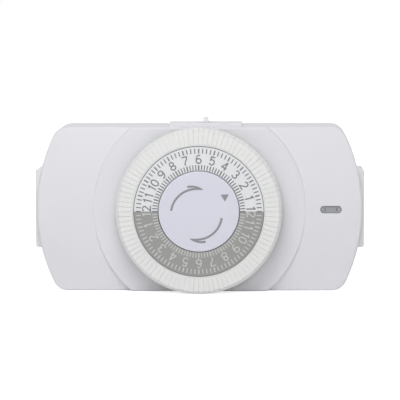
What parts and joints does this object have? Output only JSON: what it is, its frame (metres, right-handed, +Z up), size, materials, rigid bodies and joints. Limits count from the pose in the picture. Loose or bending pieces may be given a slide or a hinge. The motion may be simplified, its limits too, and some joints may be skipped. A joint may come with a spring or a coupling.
{
  "type": "plug in timer switch",
  "caption": "Wide white wall-plug timer: a large dial with push pins round a number ring on the front, a switched outlet in each bowed end, a slide switch on top and plug blades at the back.",
  "frame": {"origin": "centre of the back of the case, on the dial's axis, where the case lies against the wall", "axes": "+X along the case to the right as seen from the front, +Y into the wall along the plug blades, +Z up; the dial faces -Y"},
  "size_m": [0.152, 0.0686, 0.0799],
  "materials": {
    "case_white": "fine satin moulded",
    "outlet_white": "fine satin moulded",
    "screw_steel": "zinc plated",
    "base_plastic": "moulded",
    "contact_brass": "stamped",
    "blade_brass": "polished",
    "frame_plastic": "moulded",
    "motor_steel": "zinc plated",
    "coil_winding": "taped winding",
    "gear_acetal": "moulded",
    "spring_steel": "sprung",
    "dial_plastic": "moulded",
    "ring_print": "printed",
    "cap_plastic": "printed, satin",
    "pin_cream": "moulded",
    "switch_black": "moulded",
    "plunger_red": "moulded",
    "lens_grey": "translucent",
    "lamp_glass": "clear",
    "resistor_tan": "lacquered",
    "lead_white": "insulated"
  },
  "bodies": {
    "housing": {"front_cover": "case_white", "rear_cover": "case_white", "left_outlet_face": "outlet_white", "right_outlet_face": "outlet_white", "case_screws": "screw_steel", "plug_base": "base_plastic", "plug_blades": "blade_brass", "ground_pin": "blade_brass", "hot_bus": "contact_brass", "neutral_bus": "contact_brass", "ground_bus": "contact_brass", "gear_plate": "frame_plastic", "plate_screws": "screw_steel", "motor_case": "motor_steel", "motor_cover": "motor_steel", "motor_coil": "coil_winding", "centre_cap": "cap_plastic", "dial_retainer": "spring_steel", "lever_pin": "spring_steel", "microswitch_case": "switch_black", "override_bezel": "case_white", "override_switch_case": "switch_black", "indicator_lens": "lens_grey", "neon_lamp": "lamp_glass", "neon_resistor": "resistor_tan", "internal_leads": "lead_white"},
    "dial": {"dial_wheel": "dial_plastic", "dial_gear_ring": "gear_acetal", "number_ring": "ring_print"},
    "drive_pinion": {"drive_pinion": "gear_acetal", "clutch_spring": "spring_steel"},
    "clutch_wheel": {"clutch_wheel": "gear_acetal"},
    "motor_output": {"motor_pinion": "gear_acetal"},
    "trip_lever": {"trip_lever": "gear_acetal"},
    "plunger": {"microswitch_plunger": "plunger_red"},
    "override_knob": {"override_knob": "case_white"},
    "hour_pins_01": {"hour_pins_01": "pin_cream"},
    "hour_pins_02": {"hour_pins_02": "pin_cream"},
    "hour_pins_03": {"hour_pins_03": "pin_cream"},
    "hour_pins_04": {"hour_pins_04": "pin_cream"},
    "hour_pins_05": {"hour_pins_05": "pin_cream"},
    "hour_pins_06": {"hour_pins_06": "pin_cream"},
    "hour_pins_07": {"hour_pins_07": "pin_cream"},
    "hour_pins_08": {"hour_pins_08": "pin_cream"},
    "hour_pins_09": {"hour_pins_09": "pin_cream"},
    "hour_pins_10": {"hour_pins_10": "pin_cream"},
    "hour_pins_11": {"hour_pins_11": "pin_cream"},
    "hour_pins_12": {"hour_pins_12": "pin_cream"},
    "hour_pins_13": {"hour_pins_13": "pin_cream"},
    "hour_pins_14": {"hour_pins_14": "pin_cream"},
    "hour_pins_15": {"hour_pins_15": "pin_cream"},
    "hour_pins_16": {"hour_pins_16": "pin_cream"},
    "hour_pins_17": {"hour_pins_17": "pin_cream"},
    "hour_pins_18": {"hour_pins_18": "pin_cream"},
    "hour_pins_19": {"hour_pins_19": "pin_cream"},
    "hour_pins_20": {"hour_pins_20": "pin_cream"},
    "hour_pins_21": {"hour_pins_21": "pin_cream"},
    "hour_pins_22": {"hour_pins_22": "pin_cream"},
    "hour_pins_23": {"hour_pins_23": "pin_cream"},
    "hour_pins_24": {"hour_pins_24": "pin_cream"}
  },
  "joints": [
    {"name": "dial_turn", "type": "hinge", "parent": "housing", "child": "dial", "pos_m": [0, -0.042, 0], "axis": [0, 1, 0], "continuous": true},
    {"name": "drive_pinion_turn", "type": "hinge", "parent": "housing", "child": "drive_pinion", "pos_m": [-0.0204, -0.034, 0], "axis": [0, 1, 0], "continuous": true},
    {"name": "clutch_wheel_turn", "type": "hinge", "parent": "housing", "child": "clutch_wheel", "pos_m": [-0.0204, -0.03, 0], "axis": [0, 1, 0], "continuous": true},
    {"name": "motor_output_turn", "type": "hinge", "parent": "housing", "child": "motor_output", "pos_m": [-0.0204, -0.03, -0.0156], "axis": [0, 1, 0], "continuous": true},
    {"name": "trip_lever_swing", "type": "hinge", "parent": "housing", "child": "trip_lever", "pos_m": [0.044, -0.0312, 0], "axis": [0, 0, -1], "range_deg": [0, 12]},
    {"name": "microswitch_press", "type": "slide", "parent": "housing", "child": "plunger", "axis": [0, 1, 0], "range_m": [0, 0.0012]},
    {"name": "override_slide", "type": "slide", "parent": "housing", "child": "override_knob", "axis": [1, 0, 0], "range_m": [-0.003, 0.003]},
    {"name": "pins_01_push", "type": "slide", "parent": "dial", "child": "hour_pins_01", "axis": [0, 1, 0], "range_m": [0, 0.0024]},
    {"name": "pins_02_push", "type": "slide", "parent": "dial", "child": "hour_pins_02", "axis": [0, 1, 0], "range_m": [0, 0.0024]},
    {"name": "pins_03_push", "type": "slide", "parent": "dial", "child": "hour_pins_03", "axis": [0, 1, 0], "range_m": [0, 0.0024]},
    {"name": "pins_04_push", "type": "slide", "parent": "dial", "child": "hour_pins_04", "axis": [0, 1, 0], "range_m": [0, 0.0024]},
    {"name": "pins_05_push", "type": "slide", "parent": "dial", "child": "hour_pins_05", "axis": [0, 1, 0], "range_m": [0, 0.0024]},
    {"name": "pins_06_push", "type": "slide", "parent": "dial", "child": "hour_pins_06", "axis": [0, 1, 0], "range_m": [0, 0.0024]},
    {"name": "pins_07_push", "type": "slide", "parent": "dial", "child": "hour_pins_07", "axis": [0, 1, 0], "range_m": [0, 0.0024]},
    {"name": "pins_08_push", "type": "slide", "parent": "dial", "child": "hour_pins_08", "axis": [0, 1, 0], "range_m": [0, 0.0024]},
    {"name": "pins_09_push", "type": "slide", "parent": "dial", "child": "hour_pins_09", "axis": [0, 1, 0], "range_m": [0, 0.0024]},
    {"name": "pins_10_push", "type": "slide", "parent": "dial", "child": "hour_pins_10", "axis": [0, 1, 0], "range_m": [0, 0.0024]},
    {"name": "pins_11_push", "type": "slide", "parent": "dial", "child": "hour_pins_11", "axis": [0, 1, 0], "range_m": [0, 0.0024]},
    {"name": "pins_12_push", "type": "slide", "parent": "dial", "child": "hour_pins_12", "axis": [0, 1, 0], "range_m": [0, 0.0024]},
    {"name": "pins_13_push", "type": "slide", "parent": "dial", "child": "hour_pins_13", "axis": [0, 1, 0], "range_m": [0, 0.0024]},
    {"name": "pins_14_push", "type": "slide", "parent": "dial", "child": "hour_pins_14", "axis": [0, 1, 0], "range_m": [0, 0.0024]},
    {"name": "pins_15_push", "type": "slide", "parent": "dial", "child": "hour_pins_15", "axis": [0, 1, 0], "range_m": [0, 0.0024]},
    {"name": "pins_16_push", "type": "slide", "parent": "dial", "child": "hour_pins_16", "axis": [0, 1, 0], "range_m": [0, 0.0024]},
    {"name": "pins_17_push", "type": "slide", "parent": "dial", "child": "hour_pins_17", "axis": [0, 1, 0], "range_m": [0, 0.0024]},
    {"name": "pins_18_push", "type": "slide", "parent": "dial", "child": "hour_pins_18", "axis": [0, 1, 0], "range_m": [0, 0.0024]},
    {"name": "pins_19_push", "type": "slide", "parent": "dial", "child": "hour_pins_19", "axis": [0, 1, 0], "range_m": [0, 0.0024]},
    {"name": "pins_20_push", "type": "slide", "parent": "dial", "child": "hour_pins_20", "axis": [0, 1, 0], "range_m": [0, 0.0024]},
    {"name": "pins_21_push", "type": "slide", "parent": "dial", "child": "hour_pins_21", "axis": [0, 1, 0], "range_m": [0, 0.0024]},
    {"name": "pins_22_push", "type": "slide", "parent": "dial", "child": "hour_pins_22", "axis": [0, 1, 0], "range_m": [0, 0.0024]},
    {"name": "pins_23_push", "type": "slide", "parent": "dial", "child": "hour_pins_23", "axis": [0, 1, 0], "range_m": [0, 0.0024]},
    {"name": "pins_24_push", "type": "slide", "parent": "dial", "child": "hour_pins_24", "axis": [0, 1, 0], "range_m": [0, 0.0024]}
  ],
  "couplings": [
    {"joint": "drive_pinion_turn", "follows": "dial_turn", "ratio": 6.6667},
    {"joint": "motor_output_turn", "follows": "clutch_wheel_turn", "ratio": -3.3333},
    {"joint": "trip_lever_swing", "follows": "pins_01_push", "rad_per_m": 87.258},
    {"joint": "microswitch_press", "follows": "pins_01_push", "ratio": 0.5}
  ]
}
